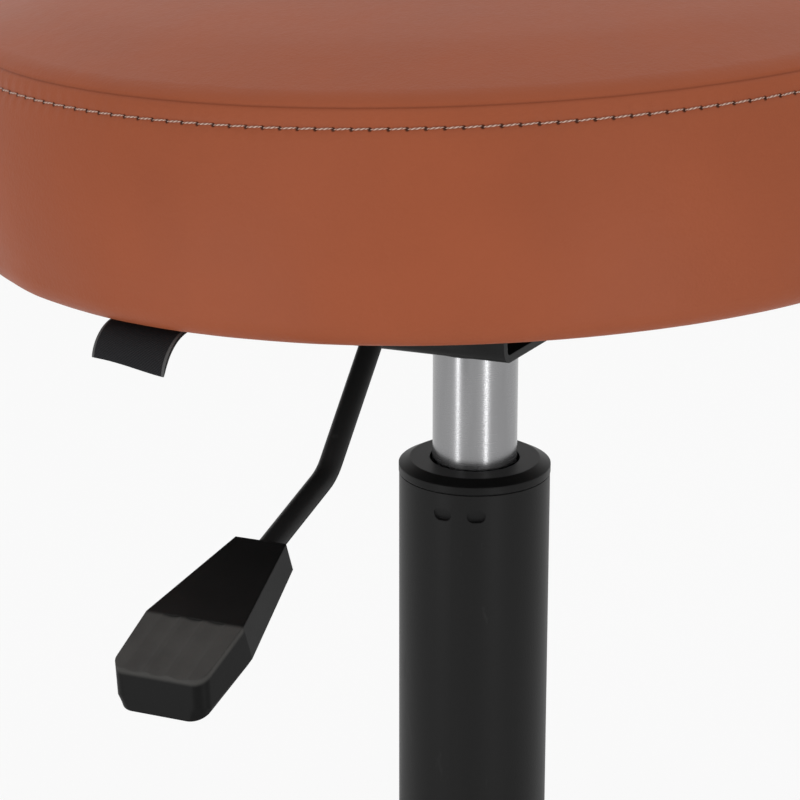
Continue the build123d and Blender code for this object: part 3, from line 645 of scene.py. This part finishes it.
def stuffed(form):
    """Rest points of the remeshed blank and how far the cloth moved each one."""
    mesh = bpy.data.meshes.new("pad_cloth")
    form.to_mesh(mesh)
    cloth = bpy.data.objects.new("pad_cloth", mesh)
    scene.collection.objects.link(cloth)
    mesh.remesh_voxel_size = 0.005
    bpy.context.view_layer.objects.active = cloth
    cloth.select_set(True)
    bpy.ops.object.voxel_remesh()
    rest = [v.co.copy() for v in cloth.data.vertices]
    sewn = cloth.vertex_groups.new(name="sewn")
    for index, point in enumerate(rest):
        if held(point):
            sewn.add([index], held(point), "REPLACE")
    settings = cloth.modifiers.new("cloth", "CLOTH").settings
    settings.quality = 6
    settings.mass = 0.25
    settings.tension_stiffness = 1.5
    settings.compression_stiffness = 1
    settings.shear_stiffness = 1
    settings.bending_stiffness = 0.2
    settings.use_pressure = True
    settings.uniform_pressure_force = 14
    settings.effector_weights.gravity = 0
    settings.vertex_group_mass = "sewn"
    for step in range(1, cloth_frames + 1):
        scene.frame_set(step)
    blown = cloth.evaluated_get(bpy.context.evaluated_depsgraph_get()).to_mesh()
    moved = [v.co - start for v, start in zip(blown.vertices, rest)]
    scene.frame_set(1)
    bpy.data.objects.remove(cloth)
    return rest, moved


rest, moved = stuffed(blank)
blank.free()
print("cloth points", len(rest), "furthest", round(max((m.length for m in moved), default=0), 4))

# %% [markdown]
# ## The cushion's rings and seam map
# The finished cushion is spun again with more rounds and cut into close rings at the seam, so that the
# sewing can be sharp there without a fine mesh everywhere. Its map is written before anything moves:
# turns round the seat one way, and metres down from the seam the other way.

# %% Cushion rings and seam map
cushion = pad_form(swell, rounds=240)
crease_cuts = (0.0025, 0.0015, 0.0009, 0.0004, 0, -0.0004, -0.0009, -0.0015)
valley_cuts = (-0.0045, -0.0052, -0.0058, -0.0064, -0.0072, -0.0085)
for cut in crease_cuts + valley_cuts:
    bmesh.ops.bisect_plane(
        cushion, geom=cushion.verts[:] + cushion.edges[:] + cushion.faces[:], dist=0.00005,
        plane_co=(0, 0, seam_height + cut), plane_no=(0, 0, 1),
    )


def down_from_seam(point):
    """How far a point of the skin lies below the seam, or inside it as a negative."""
    radius = math.hypot(point.x, point.y)
    if point.z > seam_height:
        return -math.hypot(seam_radius - radius, point.z - seam_height)
    return seam_height - point.z


cushion.normal_update()
seam_map = cushion.loops.layers.uv.new("seam_map")
places = {}
for vert in cushion.verts:
    turn = math.atan2(vert.co.y, vert.co.x) / full_turn
    places[vert] = (turn, down_from_seam(vert.co))
for face in cushion.faces:
    turns = [places[loop.vert][0] for loop in face.loops]
    wraps = max(turns) - min(turns) > 0.5
    for loop, turn in zip(face.loops, turns):
        loop[seam_map].uv = (turn + 1 if wraps and turn < 0 else turn, places[loop.vert][1])
print("rings cut", len(crease_cuts + valley_cuts))

# %% [markdown]
# ## The seat cushion
# Each point moves as the nearest points of the cloth did, with a limit, as foam would hold it. Then the
# sewing is pressed in: a crease at the seam and a shallow valley under the row of stitches, which
# leaves the hem between them slightly raised. Low on the side, the staples' pull shows as faint waves.

# %% Seat cushion
swell_limit = 0.0024
near_count = 6
near_floor = 0.001
pull_depth = 0.00035
pull_waves = ((11, 0, 1.0), (17, 2, 0.7), (29, 1, 0.5))
crease_depth, crease_width = 0.0007, 0.0007
valley_depth, valley_width = 0.0006, 0.0014
tree = KDTree(len(rest))
for index, point in enumerate(rest):
    tree.insert(point, index)
tree.balance()


def cloth_push(point):
    """How the cloth moved near a point."""
    push = Vector()
    near = tree.find_n(point, near_count)
    weights = [1 / (distance + near_floor) for _, _, distance in near]
    for weight, (_, index, _) in zip(weights, near):
        push += moved[index] * (weight / sum(weights))
    return push


def dent(distance, width):
    """A smooth dent, 1 at its middle."""
    return math.exp(-((distance / width) ** 2))


for vert, way in [(v, v.normal.copy()) for v in cushion.verts]:
    turn, down = places[vert]
    push = cloth_push(vert.co) if rest else way * swell
    vert.co += push.normalized() * min(push.length, swell_limit)
    pull = sum(size * math.sin(waves * full_turn * turn + start) for waves, start, size in pull_waves)
    low = ramp(down, start=0.03, length=0.03) * ramp(vert.co.z, start=0.001, length=0.003)
    vert.co -= way * (pull_depth * pull * low)
    pressed = crease_depth * dent(down, crease_width)
    pressed += valley_depth * dent(down - stitch_drop, valley_width)
    vert.co -= way * pressed
surface = BVHTree.FromBMesh(cushion)
bmesh.ops.transform(cushion, matrix=seat_frame, verts=cushion.verts)
seat_cushion = keep(cushion, "seat_cushion", "seat", leather)
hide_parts("seat_side_band", "seat_top_panel", "seat_foam")
print("cushion", len(seat_cushion.data.polygons), "faces")

# %% [markdown]
# ## Topstitching
# A row of stitches runs round the side just below the seam. Painted stitches would look flat against
# the light, so each is a small stretched ball, sunk halfway into the cover. Copies of it are set round
# the seat on the cushion's real surface, each tilted a little as a lockstitch is.

# %% Topstitching
stitch_length = full_turn * seat_radius / stitch_count * 0.94
stitch_height = seam_height - stitch_drop
stitch_tilt = 0.07
thread_stand = 0.00012
beyond_seat = 0.2
stitch_shape = Matrix.Diagonal((0.00031, 0.0004, stitch_length / 2, 1))
stitches = bmesh.new()
ply_map = stitches.loops.layers.uv.new("ply_map")
for number in range(stitch_count):
    turn = full_turn * number / stitch_count
    outward = Vector((math.cos(turn), math.sin(turn), 0))
    start = outward * beyond_seat + Vector((0, 0, stitch_height))
    spot, way, _, _ = surface.ray_cast(start, -outward)
    along = Vector((0, 0, 1)).cross(way).normalized()
    along = (along + way.cross(along) * stitch_tilt).normalized()
    stand = Matrix((way.cross(along), way, along)).transposed().to_4x4()
    stand.translation = spot + way * thread_stand
    bmesh.ops.create_uvsphere(
        stitches, u_segments=6, v_segments=7, radius=1, matrix=stand @ stitch_shape, calc_uvs=True,
    )
bmesh.ops.transform(stitches, matrix=seat_frame, verts=stitches.verts)
keep(stitches, "topstitch", "seat", twisted_thread())
print("stitches", stitch_count, "each", round(stitch_length * 1000, 2), "mm")

# %% [markdown]
# ## The line of the woven tab
# A short strip of woven tape is folded in half and held under the edge of the cover, so it hangs out
# and down. Its line is given as points of radius and height: out from under the board, over the edge,
# round the fold and back again just below.

# %% Tab line
seat_turn = 29
tab_angle = math.radians(40 - seat_turn)
tab_out = Vector((-math.sin(tab_angle), -math.cos(tab_angle), 0))
tab_side = Vector((0, 0, 1)).cross(tab_out)
tab_width = 0.029
tab_drop = 0.0002
fold_in = 0.0007 * math.sin(math.radians(50))
fold_down = 0.0006
tab_front = [
    (0.1410, 0.0), (0.1470, 0.0), (0.1512, -0.0005),
    (0.1548, -0.0022), (0.1578, -0.0052), (0.1597, -0.0086),
]
tab_fold = (0.1604, -0.0118)
tab_back = [(radius - fold_in, height - fold_down) for radius, height in reversed(tab_front)]
tab_path = tab_front + [tab_fold] + tab_back


def tab_point(radius, height, share):
    """A point of the tab. The share runs across it, from -1 to 1."""
    up = Vector((0, 0, height - tab_drop))
    return tab_out * radius + tab_side * (share * tab_width / 2) + up


print("tab points", len(tab_path))

# %% [markdown]
# ## The woven tab
# A row of edges is pulled along that line, one step at a time, and curled a little on the way, because
# tape never hangs quite flat. Each vertex remembers how far along the tape it lies, so the weave runs
# true over the fold. The wall and the smoothing are left to modifiers.

# %% Woven tab
tab_columns = 8
curl_depth, curl_wave, curl_shift = 0.0008, 1.6, 0.4
curl_start, curl_run = 0.15, 0.01
strip = bmesh.new()
cloth_map = strip.loops.layers.uv.new("cloth_map")
shares = {}
for column in range(tab_columns + 1):
    share = column / (tab_columns / 2) - 1
    shares[strip.verts.new(tab_point(*tab_path[0], share))] = share
edges = [strip.edges.new(pair) for pair in zip(list(shares), list(shares)[1:])]
length = 0.0
lengths = {vert: 0.0 for vert in shares}
for before, after in zip(tab_path, tab_path[1:]):
    length += math.dist(before, after)
    grown = bmesh.ops.extrude_edge_only(strip, edges=edges)["geom"]
    sides = [g for g in grown if isinstance(g, bmesh.types.BMEdge)]
    edges = [side for side in sides if all(v not in lengths for v in side.verts)]
    for vert in [g for g in grown if isinstance(g, bmesh.types.BMVert)]:
        share = (vert.co - tab_point(*before, 0)).dot(tab_side) / (tab_width / 2)
        curl = -curl_depth * math.sin(curl_wave * share - curl_shift)
        curl = curl * max(0, after[0] - curl_start) / curl_run
        vert.co = tab_point(after[0], after[1] + curl, share)
        lengths[vert] = length
        shares[vert] = share
for face in strip.faces:
    for loop in face.loops:
        loop[cloth_map].uv = (shares[loop.vert] * tab_width / 2, lengths[loop.vert])
bmesh.ops.recalc_face_normals(strip, faces=strip.faces)
bmesh.ops.transform(strip, matrix=seat_frame, verts=strip.verts)
selvage = tab_width / 2 - 0.0006
tape = woven("woven_tape", (0.006, 0.006, 0.007, 1), (0.016, 0.016, 0.018, 1), 0.0005, selvage)
woven_tab = keep(strip, "woven_tab", "seat", tape)
wall = woven_tab.modifiers.new("wall", "SOLIDIFY")
wall.thickness = 0.0003
wall.offset = 0
soften = woven_tab.modifiers.new("soften", "SUBSURF")
soften.levels = soften.render_levels = 2
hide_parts("side_tab")
print("tab strip", round(length * 1000, 1), "mm long")

# %% [markdown]
# ## Cloth under the board
# A thin black cloth hides the board and is stapled over the turned-under cover. Cloth that is stretched
# flat needs no simulation: a disc is inset into rings, drawn in slightly between its staples, and its
# cut edge is left as it is.

# %% Dust cloth
dust_radius = 0.1395
hem_start = 0.125
draw_in = 0.004
dust_height = 0.0004
dust_sag = 0.0003
dust = bmesh.new()
dust_map = dust.loops.layers.uv.new("cloth_map")
bmesh.ops.create_circle(dust, cap_ends=True, cap_tris=False, segments=176, radius=dust_radius)
for inset in (0.002, 0.004, 0.008, 0.016, 0.03, 0.03):
    middle = max(dust.faces, key=lambda face: face.calc_area())
    bmesh.ops.inset_region(dust, faces=[middle], thickness=inset, use_even_offset=True)
for vert in dust.verts:
    radius = vert.co.xy.length
    turn = math.atan2(vert.co.y, vert.co.x) / full_turn
    between = 0.5 - 0.5 * math.cos(full_turn * turn * staple_count)
    edge = max(0, (radius - hem_start) / (dust_radius - hem_start))
    vert.co.xy *= 1 - draw_in * between * edge
    vert.co.z = dust_height - dust_sag * between * edge * (1 - edge) * 4
for face in dust.faces:
    for loop in face.loops:
        loop[dust_map].uv = loop.vert.co.xy
bmesh.ops.reverse_faces(dust, faces=[f for f in dust.faces if f.normal.z > 0])
bmesh.ops.transform(dust, matrix=seat_frame, verts=dust.verts)
felt = woven("spun_cloth", (0.012, 0.012, 0.013, 1), (0.03, 0.03, 0.032, 1), 0.0011)
dust_cloth = keep(dust, "dust_cloth", "seat", felt)
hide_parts("dust_cover")
print("dust cloth", len(dust_cloth.data.polygons), "faces")

# %% [markdown]
# ## Staples
# The staples that hold the cloth are short flat wires with rounded edges. Each is a bevelled cube, and
# no two stand quite in line, as a hand-held gun leaves them.

# %% Staples
staple_shape = Matrix.Diagonal((0.0007, 0.01, 0.0006, 1))
staple_ring = 0.1335
wires = bmesh.new()
for number in range(staple_count):
    turn = full_turn * number / staple_count
    out = Vector((math.cos(turn), math.sin(turn), 0))
    stand = Matrix.Rotation(turn + 0.12 * math.sin(number * 2.3), 4, "Z")
    stand.translation = out * (staple_ring + 0.0006 * math.sin(number * 1.7))
    made = bmesh.ops.create_cube(wires, size=1, matrix=stand @ staple_shape)
    corners = [e for v in made["verts"] for e in v.link_edges]
    bmesh.ops.bevel(
        wires, geom=list(set(corners)), offset=0.0002, offset_type="OFFSET", segments=2,
        profile=0.5, affect="EDGES", material=-1,
    )
bmesh.ops.transform(wires, matrix=seat_frame, verts=wires.verts)
keep(wires, "staples", "seat", finishes["zinc_steel"])
print("staples", staple_count)

# %% [markdown]
# ## Floor and air
# The stool stands on a pale floor in a white room. The floor and the world look white to the camera and
# in reflections, which a Light Path node can tell apart from the light that falls on the stool. The
# floor keeps a share of its own shading, and with it the stool's soft shadow.

# %% Floor and air
floor_size = 14
white_share = 0.85
air_strength = 0.5
white = (1, 1, 1, 1)
floor_form = bmesh.new()
bmesh.ops.create_grid(floor_form, x_segments=1, y_segments=1, size=floor_size)
floor_mesh = bpy.data.meshes.new("floor")
floor_form.to_mesh(floor_mesh)
floor_form.free()
floor = bpy.data.objects.new("floor", floor_mesh)
scene.collection.objects.link(floor)


def seen_white(finish):
    """1 for rays from the camera and for reflected and refracted rays."""
    rays = finish.tree.nodes.new("ShaderNodeLightPath").outputs
    names = ("Is Camera Ray", "Is Glossy Ray", "Is Transmission Ray")
    ray = [Value(finish, rays[name]) for name in names]
    return ray[0].math("MAXIMUM", ray[0].math("MAXIMUM", ray[0], ray[1]), ray[2])


class Sky(Finish):
    """The world's nodes, handled as a finish."""

    def __init__(self):
        self.tree = scene.world.node_tree


paper = Finish("floor_paper")
paper.feed({"Base Color": (0.92, 0.92, 0.92, 1), "Roughness": 0.9})
glow = paper.add("ShaderNodeEmission", {}, {"Color": white, "Strength": 1.0})
lit = Value(paper, paper.shader.outputs[0])
sockets = {0: seen_white(paper) * white_share, 1: lit, 2: glow}
pale = paper.add("ShaderNodeMixShader", {}, sockets)
paper.link(paper.tree.nodes["Material Output"].inputs["Surface"], pale)
floor_mesh.materials.append(paper.material)
scene.world = scene.world or bpy.data.worlds.new("studio")
scene.world.use_nodes = True
sky = Sky()
soft_air = sky.add("ShaderNodeBackground", {}, {"Color": white, "Strength": air_strength})
backdrop = sky.add("ShaderNodeBackground", {}, {"Color": white, "Strength": 1.0})
both = sky.add("ShaderNodeMixShader", {}, {0: seen_white(sky), 1: soft_air, 2: backdrop})
sky.link(sky.tree.nodes["World Output"].inputs["Surface"], both)
print("floor", 2 * floor_size, "m wide")

# %% [markdown]
# ## Lamps
# Two tall softboxes light the seat from either side of the camera, two low strips draw the bright lines
# on the steel, and a lamp as wide as the room hangs overhead. Round steel mirrors only narrow slices of
# the room, so the strips have to stand at just those angles.

# %% Lamps
def softbox(name, place, aim, width, height, power):
    """An area lamp that faces a point. Places are counted from the top of the tube."""
    lamp = bpy.data.lights.new(name, "AREA")
    lamp.shape = "RECTANGLE"
    lamp.size = width
    lamp.size_y = height
    lamp.energy = power
    box = bpy.data.objects.new(name, lamp)
    scene.collection.objects.link(box)
    box.location = lift + Vector(place)
    box.rotation_euler = (Vector(aim) - Vector(place)).to_track_quat("-Z", "Y").to_euler()


lift = Vector((0, 0, tube_top))
softbox("left_box", (-0.85, -1.15, 0.48), (0, 0, 0), width=0.32, height=1.3, power=2.7)
softbox("right_box", (0.62, -1.2, 0.48), (0, 0, 0), width=0.26, height=1.3, power=1.6)
softbox("left_strip", (-0.51, -0.45, -0.12), (0, 0, 0), width=0.06, height=0.3, power=0.45)
softbox("right_strip", (0.325, -0.597, -0.12), (0, 0, 0), width=0.05, height=0.3, power=0.5)
softbox("top_box", (0.9, -0.3, 3.2), (0.9, -0.3, 0), width=7, height=7, power=58)
print("lamps", len(bpy.data.lights))
